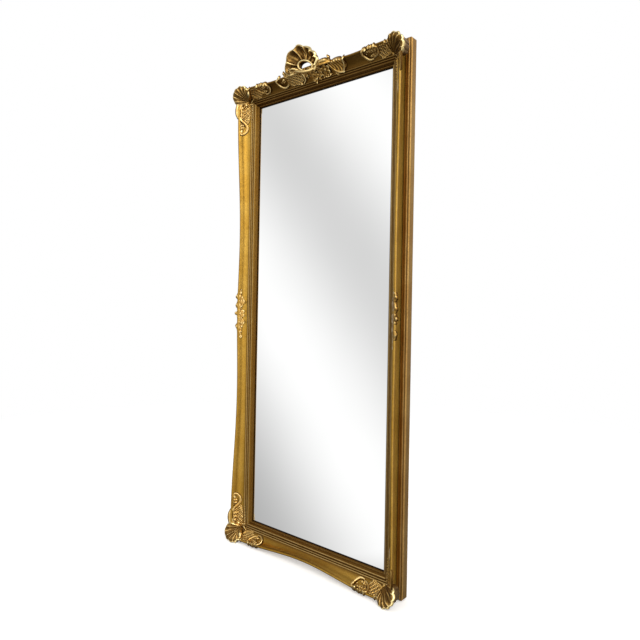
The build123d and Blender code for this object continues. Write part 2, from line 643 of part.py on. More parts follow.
# ---------------------------------------------------------------------------
# Everything, by node
# ---------------------------------------------------------------------------
nodes = {}
pin_holes = []
for pin in bead_pins:
    middle = pin.center()
    length = pin.bounding_box().size
    along_x = length.X > length.Z
    half = NAIL_LENGTH / 2 + 0.2
    start = (middle.X - half, middle.Y, middle.Z) if along_x else (middle.X, middle.Y, middle.Z - half)
    end = (middle.X + half, middle.Y, middle.Z) if along_x else (middle.X, middle.Y, middle.Z + half)
    pin_holes.append(rod(PIN_NAIL_R + 0.05, start, end))

wood_holes = plate_holes + front_leaf_holes + bracket_holes + pin_holes
for name, rail in rails.items():
    nodes[name] = [largest(rail - wood_holes)]
for z_name, z_sign in (("top", 1), ("bottom", -1)):
    for x_name, x_sign in (("left", -1), ("right", 1)):
        nodes[f"corner_ornament_{z_name}_{x_name}"] = [corner_ornament(x_sign, z_sign)]
nodes["crest_shell"] = [crest_shell_solid]
nodes["crest_left_cartouche"] = [crest_left]
nodes["crest_right_cartouche"] = [crest_right]
nodes["left_side_spray"] = [side_spray(SIDES["left_stile"])]
nodes["right_side_spray"] = [side_spray(SIDES["right_stile"])]
nodes["mirror_glass"] = [mirror_glass]
nodes["backing_board"] = [backing_board]
nodes["backing_beads"] = [bead - pin_holes for bead in backing_beads]
nodes["bead_pins"] = bead_pins
nodes["corner_plates"] = corner_plates
nodes["corner_plate_screws"] = corner_plate_screws
for name, x in (("left", -HINGE_X), ("right", HINGE_X)):
    nodes[f"{name}_hinge_front_leaf"] = [largest(front_leaf(x) - front_leaf_holes)]
    nodes[f"{name}_hinge_rear_leaf"] = [largest(rear_leaf(x) - rear_leaf_holes)]
    nodes[f"{name}_hinge_pin"] = [hinge_pin(x)]
nodes["hinge_front_screws"] = front_leaf_screws
nodes["hinge_rear_screws"] = rear_leaf_screws
nodes["easel_right_stile"] = [right_easel_stile]
nodes["easel_left_stile"] = [mirrored(right_easel_stile)]
for name, rail in easel_nodes.items():
    nodes[name] = [largest(rail)]
nodes["easel_floor_pads"] = easel_pads
right_bracket = largest(stay_bracket() - bracket_holes)
nodes["right_stay_bracket"] = [right_bracket]
nodes["left_stay_bracket"] = [mirrored(right_bracket)]
nodes["stay_bracket_screws"] = stay_bracket_screws
for label, make in (("stay_rivet", stay_rivet), ("stay_arm", stay_arm), ("stay_stud", stay_stud)):
    piece = make()
    nodes[f"right_{label}"] = [piece]
    nodes[f"left_{label}"] = [mirrored(piece)]

for name, solids in nodes.items():
    shape = solids[0] if len(solids) == 1 else Compound(children=list(solids))
    export_step(shape, f"parts/{name}.step")
print(f"{len(nodes)} nodes; hinge axis at y {hinge_y:.2f}, z {HINGE_Z:.2f}; stay pivot y {stay_y:.2f}")
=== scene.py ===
import json
from math import cos, degrees, exp, hypot, pi, radians, sin

import bpy
import numpy as np
from mathutils import Matrix, Vector
from mathutils.bvhtree import BVHTree


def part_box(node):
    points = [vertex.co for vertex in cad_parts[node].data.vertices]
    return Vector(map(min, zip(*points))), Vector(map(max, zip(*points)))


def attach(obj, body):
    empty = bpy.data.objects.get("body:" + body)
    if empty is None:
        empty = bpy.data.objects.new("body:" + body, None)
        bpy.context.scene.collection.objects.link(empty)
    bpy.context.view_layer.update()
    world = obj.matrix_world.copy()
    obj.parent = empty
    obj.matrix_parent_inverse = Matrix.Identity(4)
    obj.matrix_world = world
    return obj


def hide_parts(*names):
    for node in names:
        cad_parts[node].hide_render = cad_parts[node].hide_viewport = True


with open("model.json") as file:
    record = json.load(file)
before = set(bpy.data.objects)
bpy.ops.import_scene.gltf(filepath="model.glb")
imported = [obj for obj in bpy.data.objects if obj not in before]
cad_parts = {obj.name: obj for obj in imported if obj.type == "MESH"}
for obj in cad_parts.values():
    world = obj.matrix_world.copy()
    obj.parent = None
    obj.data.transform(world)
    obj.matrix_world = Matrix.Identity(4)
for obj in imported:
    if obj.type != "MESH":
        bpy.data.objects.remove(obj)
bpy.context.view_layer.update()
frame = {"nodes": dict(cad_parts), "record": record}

NODES = frame["nodes"]
BODY = "mirror_frame"
MM = 0.001
scene = bpy.context.scene

# ------------------------------------
# Measures of the frame, in millimetres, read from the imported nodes
# ------------------------------------
LIP_RUN = (27.0, 20.5)            # where the cove starts: outward and forward of the sight edge
REBATE_LAP = 6.0                  # glass hidden behind each sight edge

glass_low, glass_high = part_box("mirror_glass")
GLASS_Y = glass_low.y / MM
HALF_W = glass_high.x / MM - REBATE_LAP
SIGHT_BOTTOM = glass_low.z / MM + REBATE_LAP
SIGHT_TOP = glass_high.z / MM - REBATE_LAP
MID_Z = (SIGHT_BOTTOM + SIGHT_TOP) / 2
HALF_H = (SIGHT_TOP - SIGHT_BOTTOM) / 2
FRONT = Vector((0, -1, 0))


# ------------------------------------
# Node helpers
# ------------------------------------
class Tree:
    """Short calls for building a node tree."""

    def __init__(self, tree):
        self.tree = tree
        self.tree.nodes.clear()

    def node(self, kind, inputs=None, **settings):
        """A new node; a socket among its inputs is linked, any other value is set."""
        made = self.tree.nodes.new(kind)
        for key, value in settings.items():
            setattr(made, key, value)
        for key, value in (inputs or {}).items():
            self.put(made.inputs[key], value)
        return made

    def put(self, socket, value):
        if isinstance(value, bpy.types.NodeSocket):
            self.tree.links.new(value, socket)
        else:
            socket.default_value = value

    def math(self, operation, *values):
        made = self.node("ShaderNodeMath", operation=operation)
        for socket, value in zip(made.inputs, values):
            self.put(socket, value)
        return made.outputs[0]

    def mix(self, share, first, second):
        """Colours mixed; the node's colour sockets are inputs 6 and 7 and output 2."""
        made = self.node("ShaderNodeMix", data_type="RGBA")
        self.put(made.inputs[0], share)
        self.put(made.inputs[6], first)
        self.put(made.inputs[7], second)
        return made.outputs[2]

    def span(self, value, low, high, to_low=0.0, to_high=1.0):
        """value from low..high mapped to to_low..to_high, smoothly and held at the ends."""
        return self.node("ShaderNodeMapRange", {
            "Value": value, "From Min": low, "From Max": high, "To Min": to_low, "To Max": to_high,
        }, interpolation_type="SMOOTHSTEP").outputs[0]

    def noise(self, place, scale, detail=3.0, rough=0.55, distortion=0.0):
        return self.node("ShaderNodeTexNoise", {
            "Vector": place, "Scale": scale, "Detail": detail, "Roughness": rough,
            "Distortion": distortion,
        }).outputs[0]

    def stretched(self, place, scale):
        return self.node("ShaderNodeMapping", {"Vector": place, "Scale": scale}).outputs[0]

    def place(self):
        """The spot being shaded, in the frame's metres."""
        return self.node("ShaderNodeTexCoord").outputs["Object"]

    def split(self, vector):
        """The x, y and z of a vector."""
        return self.node("ShaderNodeSeparateXYZ", {0: vector}).outputs


def rgb(red, green, blue):
    return (red, green, blue, 1.0)


# ------------------------------------
# Camera
# ------------------------------------
CAMERA_AT = Vector((1.2105, -1.3753, 0.8574))
CAMERA_YAW = radians(40.496)      # turned to the left of looking straight at the glass
CAMERA_TILT = radians(90.192)     # from looking straight down
CAMERA_ROLL = radians(1.061)
CAMERA_LENS = 31.5
CAMERA_SHIFT = -0.02625           # of the picture's width, downwards


def make_camera():
    data = bpy.data.cameras.new("camera")
    data.lens = CAMERA_LENS
    data.shift_y = CAMERA_SHIFT
    camera = bpy.data.objects.new("camera", data)
    scene.collection.objects.link(camera)
    turn = Matrix.Rotation(CAMERA_YAW, 4, "Z") @ Matrix.Rotation(CAMERA_TILT, 4, "X")
    turn = turn @ Matrix.Rotation(CAMERA_ROLL, 4, "Z")
    camera.matrix_world = Matrix.Translation(CAMERA_AT) @ turn
    scene.camera = camera


# ------------------------------------
# Studio: soft light all round, a pale floor, a white surround
# ------------------------------------
SOFT_LIGHTS = (                   # direction (x, y, z), strength, tightness
    (0.78, -0.50, 0.50, 3.3, 9.0),        # the key: front, right and above
    (-0.30, -0.75, 0.62, 3.2, 18.0),      # front, left and above
    (0.35, 0.80, 0.45, 0.9, 4.0),         # wide, from behind
    (0.55, -0.45, 0.72, 9.0, 90.0),       # small and strong, for highlights
    (-0.65, 0.35, 0.66, 1.2, 8.0),        # left, behind and above
    (0.25, -0.95, 0.05, 1.5, 14.0),       # level, from the front
    (0.97, 0.10, 0.0, 0.6, 8.0),          # level, from the right
    (0.74, -0.60, -0.40, 0.9, 12.0),      # low, front and right
    (-0.60, 0.75, -0.20, 0.7, 8.0),       # low, left and behind
    (0.10, -0.20, -1.0, 0.45, 6.0),       # straight up from the floor
)
DIM_BELOW, DIM_ABOVE = 0.09, 0.10  # strength of the surround away from every light
WALL_LIGHT = (-0.62, -0.72, 0.0, 1.0, 9.0)    # the wall's direction, strength and tightness
WALL_WIDEN = 2.2                  # strength before it is held at full, which widens the wall
WALL_FOOT = (-0.50, -0.40)        # heights of direction over which the wall fades out below
BAND_SLANT = 1.2                  # sideways part of the bands' axis, to 1 of height
BAND_PITCH = 24.0                 # degrees from one bright band to the next
BAND_PEAK = -14.4                 # degrees at which a bright band lies
BAND_SWING, BAND_MEAN = 0.178, 0.868    # brightness of the bands about their mean
BAND_DIM = (-54.0, -39.0, 0.58)   # the bands darken between these degrees, down to this share
LIGHT_TONE = (1, 0.985, 0.96)
FLOOR_FADE = (0.7, 3.2)           # distances over which the floor turns white, in metres


def make_world():
    world = bpy.data.worlds.new("studio")
    scene.world = world
    world.use_nodes = True
    t = Tree(world.node_tree)
    aim = t.node("ShaderNodeTexCoord").outputs["Generated"]

    def toward(x, y, z):
        return t.node("ShaderNodeVectorMath", {0: aim, 1: Vector((x, y, z)).normalized()},
                      operation="DOT_PRODUCT").outputs["Value"]

    def soft_box(x, y, z, strength, tightness):
        """A round soft light in one direction; tightness sets how fast it fades."""
        fall = t.math("MULTIPLY", t.math("SUBTRACT", toward(x, y, z), 1.0), tightness)
        return t.math("MULTIPLY", t.math("EXPONENT", fall), strength)

    # A white wall lit in broad slanting bands, in front of the glass and to its left.
    turn = t.math("ARCTAN2", toward(BAND_SLANT, 0, 1), toward(0, -1, 0))
    past_peak = t.math("SUBTRACT", turn, radians(BAND_PEAK))
    wave = t.math("COSINE", t.math("MULTIPLY", past_peak, 360 / BAND_PITCH))
    band = t.math("MULTIPLY_ADD", wave, BAND_SWING, BAND_MEAN)
    dim_from, dim_to, dimmed = BAND_DIM
    band = t.math("MULTIPLY", band, t.span(turn, radians(dim_from), radians(dim_to), dimmed, 1.0))
    wall = t.math("MINIMUM", t.math("MULTIPLY", soft_box(*WALL_LIGHT), WALL_WIDEN), 1.0)
    wall = t.math("MULTIPLY", wall, t.span(toward(0, 0, 1), *WALL_FOOT))
    light = t.span(toward(0, 0, 1), -0.3, 0.2, DIM_BELOW, DIM_ABOVE)
    for box in SOFT_LIGHTS:
        light = t.math("ADD", light, soft_box(*box))
    light = t.mix(wall, light, band)
    tone = t.mix(wall, rgb(*LIGHT_TONE), rgb(1, 1, 1))
    lit = t.node("ShaderNodeBackground", {"Color": tone, "Strength": light})
    seen = t.node("ShaderNodeBackground", {"Color": rgb(1, 1, 1), "Strength": 1.0})
    to_camera = t.node("ShaderNodeLightPath").outputs["Is Camera Ray"]
    both = t.node("ShaderNodeMixShader", {0: to_camera, 1: lit.outputs[0], 2: seen.outputs[0]})
    t.node("ShaderNodeOutputWorld", {0: both.outputs[0]})


def make_floor():
    """A wide pale disc that fades into the white surround."""
    rings = (0.4, 0.8, 1.4, 2.4, 4.0, 7.0, 12.0)
    around = 48
    points = [(0, 0, 0)]
    for radius in rings:
        for step in range(around):
            turn = 2 * pi * step / around
            points.append((radius * cos(turn), radius * sin(turn), 0))
    faces = [(0, 1 + step, 1 + (step + 1) % around) for step in range(around)]
    for ring in range(len(rings) - 1):
        first = 1 + ring * around
        for step in range(around):
            other = (step + 1) % around
            faces.append((first + step, first + around + step, first + around + other, first + other))
    mesh = bpy.data.meshes.new("floor")
    mesh.from_pydata(points, [], faces)
    floor = bpy.data.objects.new("floor", mesh)
    scene.collection.objects.link(floor)
    material = bpy.data.materials.new("pale_floor")
    material.use_nodes = True
    t = Tree(material.node_tree)
    place = t.place()
    away = t.node("ShaderNodeVectorMath", {0: place}, operation="LENGTH").outputs["Value"]
    plain = t.node("ShaderNodeBsdfPrincipled", {
        "Base Color": rgb(0.86, 0.86, 0.86), "Roughness": 0.9,
        "Emission Color": rgb(1, 1, 1), "Emission Strength": 0.30})
    glow = t.node("ShaderNodeEmission", {"Color": rgb(1, 1, 1), "Strength": 1.0})
    both = t.node("ShaderNodeMixShader", {
        0: t.span(away, *FLOOR_FADE), 1: plain.outputs[0], 2: glow.outputs[0]})
    t.node("ShaderNodeOutputMaterial", {0: both.outputs[0]})
    mesh.materials.append(material)
    floor.visible_glossy = False
    floor.visible_diffuse = False


# ------------------------------------
# Materials
# ------------------------------------
def material(name):
    made = bpy.data.materials.new(name)
    made.use_nodes = True
    return made, Tree(made.node_tree)


def finish_surface(t, color, rough, height=None, bump=0.0, distance=0.001, **fixed):
    shader = t.node("ShaderNodeBsdfPrincipled", {"Base Color": color, "Roughness": rough, **fixed})
    if height is not None:
        relief = t.node("ShaderNodeBump", {"Height": height, "Strength": bump, "Distance": distance})
        t.put(shader.inputs["Normal"], relief.outputs[0])
    t.node("ShaderNodeOutputMaterial", {0: shader.outputs[0]})


def gilt(name, leaf, worn, rub, glaze, rough, crease):
    """Gold leaf over wood: warm leaf, brown glaze in the creases, high spots rubbed pale; painted shade
    and highlights mixed in.

    crease(t, place) gives three shares: how much glaze, with painted shade, lies there; how
    rubbed the leaf is, with painted light mixed in; and how much of its metal is lost under old varnish.
    """
    made, t = material(name)
    place = t.place()
    glaze_and_shade, rubbed, dulled = crease(t, place)
    cloud = t.noise(place, 9.0, 4.0)
    grain = t.noise(place, 260.0, 3.0, 0.6)
    speck = t.noise(place, 900.0, 2.0)
    leaf_tone = t.mix(t.span(cloud, 0.35, 0.68), leaf, worn)
    toned = t.mix(t.math("MULTIPLY", t.span(grain, 0.30, 0.75), 0.35), leaf_tone, glaze)
    toned = t.mix(rubbed, toned, rub)
    toned = t.mix(glaze_and_shade, toned, glaze)
    fleck = t.math("MULTIPLY", t.span(speck, 0.66, 0.74), 0.5)
    toned = t.mix(fleck, toned, glaze)
    shine = t.math("ADD", t.math("MULTIPLY_ADD", cloud, 0.16, rough - 0.08),
                   t.math("MULTIPLY", glaze_and_shade, 0.22))
    shine = t.math("MULTIPLY_ADD", grain, 0.10, shine)
    metal = 1.0 if dulled == 0.0 else t.math("SUBTRACT", 1.0, dulled)
    finish_surface(t, toned, shine, grain, 0.12, 0.0006, Metallic=metal)
    return made


# Lines along the mouldings, each as (distance, half-width) in millimetres.
GLAZE_LINES = ((0.0, 3.2), (6.2, 1.4), (15.4, 1.3), (21.6, 1.6), (27.4, 1.2))    # from the sight edge
RUBBED_LINES = ((3.6, 1.1), (11.2, 1.4), (18.4, 1.3), (24.2, 1.5))               # from the sight edge
EASEL_LINES = ((325.5, 1.6), (336.0, 1.2), (343.5, 1.2))                         # from the middle


def soft_lines(t, distance, lines, core, strength):
    """The strongest of several lines; each is full over a core share of its half-width."""
    strongest = None
    for middle, width in lines:
        away = t.math("ABSOLUTE", t.math("SUBTRACT", distance, middle * MM))
        line = t.span(away, core * width * MM, width * MM, strength, 0.0)
        strongest = line if strongest is None else t.math("MAXIMUM", strongest, line)
    return strongest


def moulding_crease(t, place):
    """Glaze in the quirks, rubbed leaf on the beads, dark near the glass; painted shade on the rails,
    most on the top rail.
    """
    part = t.split(place)
    sideways = t.math("SUBTRACT", t.math("ABSOLUTE", part[0]), HALF_W * MM)
    lift = t.math("SUBTRACT", part[2], MID_Z * MM)
    upward = t.math("SUBTRACT", t.math("ABSOLUTE", lift), HALF_H * MM)
    outward = t.math("MAXIMUM", sideways, upward)
    glaze_and_shade = soft_lines(t, outward, GLAZE_LINES, 0.3, 0.85)
    streak = t.noise(t.stretched(place, (60.0, 60.0, 60.0)), 1.0, 5.0, 0.6, 0.6)
    glaze_and_shade = t.math("MULTIPLY", glaze_and_shade, t.span(streak, 0.2, 0.5, 0.9, 1.0))
    on_rail = t.span(t.math("SUBTRACT", upward, sideways), 0.0, 0.4 * MM)
    on_top = t.math("MULTIPLY", on_rail, t.span(lift, 0.0, 1.0 * MM))
    # The inner mouldings near the glass are darkened everywhere. Painted shade makes them darker on the
    # rails and darkest on the top rail, glazes the rails' coves dark and darkens the top rail's face.
    depth = t.math("MULTIPLY_ADD", on_top, 0.08, t.math("MULTIPLY_ADD", on_rail, 0.14, 0.66))
    inner = t.math("MULTIPLY", t.span(outward, 21.0 * MM, 26.0 * MM, 1.0, 0.0), depth)
    painted_cove_shade = t.math("MULTIPLY", t.span(outward, 26.0 * MM, 46.0 * MM, 0.68, 0.0), on_rail)
    painted_top_shade = t.math("MULTIPLY", t.span(outward, 26.0 * MM, 80.0 * MM, 0.76, 0.38), on_top)
    inner_dark_and_painted_shade = t.math("MAXIMUM", inner, t.math("MAXIMUM", painted_cove_shade, painted_top_shade))
    glaze_and_shade = t.math("MAXIMUM", glaze_and_shade, inner_dark_and_painted_shade)
    wash = t.math("MULTIPLY", t.span(t.noise(place, 24.0, 5.0, 0.65), 0.52, 0.75), 0.22)
    glaze_and_shade = t.math("MAXIMUM", glaze_and_shade, wash)
    rubbed = soft_lines(t, outward, RUBBED_LINES, 0.4, 0.7)
    rubbed = t.math("MULTIPLY", rubbed, t.span(streak, 0.35, 0.6, 0.75, 1.0))
    # Painted shade: the top rail is rubbed less, so it stays darker.
    rubbed = t.math("MULTIPLY", rubbed, t.math("MULTIPLY_ADD", on_top, -0.55, 1.0))
    glaze_and_shade = t.math("MULTIPLY", glaze_and_shade, t.math("SUBTRACT", 1.0, rubbed))
    normal = t.node("ShaderNodeTexCoord").outputs["Normal"]
    facing = t.split(normal)
    side = t.math("SIGN", part[0])
    flank = t.span(t.math("MULTIPLY", facing[0], side), 0.60, 0.90, 0.0, 0.7)
    return glaze_and_shade, t.math("MAXIMUM", rubbed, t.span(streak, 0.62, 0.85, 0.0, 0.25)), flank


def easel_crease(t, place):
    """Glaze beside the easel stile's bead, and streaks along its length."""
    part = t.split(place)
    across = t.math("ABSOLUTE", part[0])
    glaze_and_shade = soft_lines(t, across, EASEL_LINES, 0.3, 0.8)
    streak = t.noise(t.stretched(place, (120.0, 120.0, 6.0)), 1.0, 4.0, 0.6)
    wash = t.math("MULTIPLY", t.span(streak, 0.5, 0.8), 0.3)
    return t.math("MAXIMUM", glaze_and_shade, wash), t.span(streak, 0.2, 0.42, 0.25, 0.0), 0.0


def cast_crease(t, place):
    """Glaze in a casting's hollows, rubbed gold on its ridges, by ridge values that also hold painted
    shade and highlights.
    """
    height = t.node("ShaderNodeAttribute", attribute_name="ridge").outputs["Fac"]
    mottle = t.math("MULTIPLY_ADD", t.noise(place, 110.0, 3.0), 0.3, -0.15)
    level = t.math("ADD", height, mottle)
    return t.span(level, 0.50, 0.18, 0.0, 0.93), t.span(level, 0.52, 0.84, 0.0, 0.95), 0.0


PAINTED_EDGE_SHADE = (3.2, 4.4)            # inside the sight edge, where the glass's painted dark border, the reflected shade of the rebate, fades out


def silvered_glass():
    """A mirror with a trace of haze, and a painted dark border along the sight edge: the rebate's shade,
    reflected.
    """
    made, t = material("silvered_glass")
    place = t.place()
    haze = t.noise(place, 3.0, 2.0)
    tint = t.mix(t.span(haze, 0.3, 0.7), rgb(0.960, 0.964, 0.961), rgb(0.978, 0.980, 0.978))
    part = t.split(place)
    side_gap = t.math("SUBTRACT", HALF_W * MM, t.math("ABSOLUTE", part[0]))
    lift = t.math("ABSOLUTE", t.math("SUBTRACT", part[2], MID_Z * MM))
    gap = t.math("MINIMUM", side_gap, t.math("SUBTRACT", HALF_H * MM, lift))
    # Painted reflection: a near-black border where the glass would mirror the rebate in shade.
    edge = t.span(gap, PAINTED_EDGE_SHADE[0] * MM, PAINTED_EDGE_SHADE[1] * MM, 0.97, 0.0)
    tint = t.mix(edge, tint, rgb(0.02, 0.014, 0.008))
    finish_surface(t, tint, t.math("MULTIPLY", t.span(haze, 0.4, 0.9), 0.004), Metallic=1.0)
    return made


def hardboard():
    """Pressed brown fibre with darker blotches."""
    made, t = material("hardboard_sheet")
    place = t.place()
    fibre = t.noise(place, 420.0, 5.0, 0.7)
    blotch = t.noise(place, 14.0, 4.0)
    board = t.mix(fibre, rgb(0.16, 0.085, 0.040), rgb(0.30, 0.18, 0.095))
    board = t.mix(t.span(blotch, 0.4, 0.7, 0.0, 0.35), board, rgb(0.10, 0.055, 0.028))
    finish_surface(t, board, t.math("MULTIPLY_ADD", fibre, 0.2, 0.6), fibre, 0.35, 0.0006)
    return made


def bare_pine():
    """Unpainted wood with growth rings and pores."""
    made, t = material("bare_pine")
    place = t.place()
    ring = t.node("ShaderNodeTexWave", {
        "Vector": t.stretched(place, (30.0, 30.0, 2.0)), "Scale": 1.4, "Distortion": 5.0,
        "Detail": 3.0}, wave_type="RINGS").outputs["Fac"]
    pore = t.noise(t.stretched(place, (400.0, 400.0, 18.0)), 1.0, 3.0)
    pine = t.mix(ring, rgb(0.50, 0.33, 0.17), rgb(0.62, 0.44, 0.25))
    pine = t.mix(t.span(pore, 0.5, 0.8, 0.0, 0.5), pine, rgb(0.32, 0.19, 0.09))
    finish_surface(t, pine, 0.62, pore, 0.25, 0.0005)
    return made


def small_metal(name, low, high, rough):
    """Plated or plain metal, clouded between two tones and finely scratched."""
    made, t = material(name)
    place = t.place()
    cloud = t.noise(place, 70.0, 5.0, 0.65)
    scratch = t.noise(t.stretched(place, (900.0, 900.0, 90.0)), 1.0, 2.0)
    tone = t.mix(t.span(cloud, 0.35, 0.65), low, high)
    shine = t.math("MULTIPLY_ADD", scratch, 0.22, t.math("MULTIPLY_ADD", cloud, 0.2, rough - 0.15))
    finish_surface(t, tone, shine, scratch, 0.10, 0.0003, Metallic=1.0)
    return made


def felt():
    """Brown felt with a fine nap."""
    made, t = material("brown_felt")
    place = t.place()
    nap = t.noise(place, 1500.0, 3.0, 0.7)
    tone = t.mix(nap, rgb(0.035, 0.025, 0.018), rgb(0.11, 0.085, 0.065))
    finish_surface(t, tone, 0.95, nap, 0.6, 0.0006)
    return made


def make_materials():
    """One look for each material slot of the record."""
    return {
        "gilt_wood": gilt(
            "gilt_wood_leaf", leaf=rgb(0.40, 0.220, 0.030), worn=rgb(0.47, 0.28, 0.05),
            rub=rgb(0.62, 0.45, 0.20), glaze=rgb(0.080, 0.030, 0.006), rough=0.29,
            crease=moulding_crease),
        "gilt_easel": gilt(
            "gilt_easel_paint", leaf=rgb(0.38, 0.21, 0.06), worn=rgb(0.46, 0.28, 0.09),
            rub=rgb(0.62, 0.42, 0.17), glaze=rgb(0.06, 0.032, 0.010), rough=0.36,
            crease=easel_crease),
        "gilt_casting": gilt(
            "gilt_cast_leaf", leaf=rgb(0.52, 0.285, 0.06), worn=rgb(0.58, 0.350, 0.10),
            # The castings' pale rub colour is partly worn gilding and partly their painted highlight.
            rub=rgb(0.93, 0.74, 0.34), glaze=rgb(0.065, 0.028, 0.006), rough=0.24,
            crease=cast_crease),
        "mirror": silvered_glass(),
        "hardboard": hardboard(),
        "bare_wood": bare_pine(),
        "steel": small_metal("zinc_plate", rgb(0.42, 0.42, 0.43), rgb(0.62, 0.62, 0.61), 0.32),
        "brass": small_metal("aged_brass", rgb(0.38, 0.24, 0.08), rgb(0.62, 0.44, 0.18), 0.30),
        "felt": felt(),
    }


# ------------------------------------
# Carving: heights over a flat plan, laid on the mouldings behind it
# ------------------------------------
def moulding_surface(*names):
    """The named nodes as one surface to lay carvings on."""
    points = []
    faces = []
    for name in names:
        mesh = NODES[name].data
        first = len(points)
        points += [vertex.co.copy() for vertex in mesh.vertices]
        faces += [tuple(first + corner for corner in face.vertices) for face in mesh.polygons]
    return BVHTree.FromPolygons(points, faces)


def curve_through(points, per_span=9):
    """A smooth line through the points, as an array."""
    spots = np.array(points, float)
    ends = np.vstack([2 * spots[0] - spots[1], spots, 2 * spots[-1] - spots[-2]])
    made = []
    for span in range(len(spots) - 1):
        p0, p1, p2, p3 = ends[span:span + 4]
        for t in np.linspace(0, 1, per_span, endpoint=False):
            made.append(0.5 * (2 * p1 + (p2 - p0) * t + (2 * p0 - 5 * p1 + 4 * p2 - p3) * t ** 2
                               + (3 * p1 - p0 - 3 * p2 + p3) * t ** 3))
    made.append(spots[-1])
    return np.array(made)


def blurred(values, passes):
    """Values evened out with their neighbours, a few times over."""
    for _ in range(passes):
        padded = np.pad(values, 1, mode="edge")
        values = (padded[:-2, 1:-1] + padded[2:, 1:-1] + padded[1:-1, :-2] + padded[1:-1, 2:]
                  + 4 * values) / 8
    return values


def rounded(radius, away):
    """Height of a bead or a round bar, at a distance from its middle."""
    return np.sqrt(np.clip(radius ** 2 - away ** 2, 0, None))


FAR_OUTSIDE = -9.0                # cover where nothing is near
RAY_START = 60.0                  # millimetres above the plan
RAY_LENGTH = 0.2                  # metres
EVEN_GROUND = 6                   # passes that even out the surface behind a carving
EVEN_RELIEF = 12                  # passes that tell a carving's ridges from its hollows
BACK_SHADE_VALUE = 0.25                 # ridge value of a carving's back: low, painted shade on its back and side walls
SKIRT_SINK = 1.0                  # how far a carving's edge dips into the surface


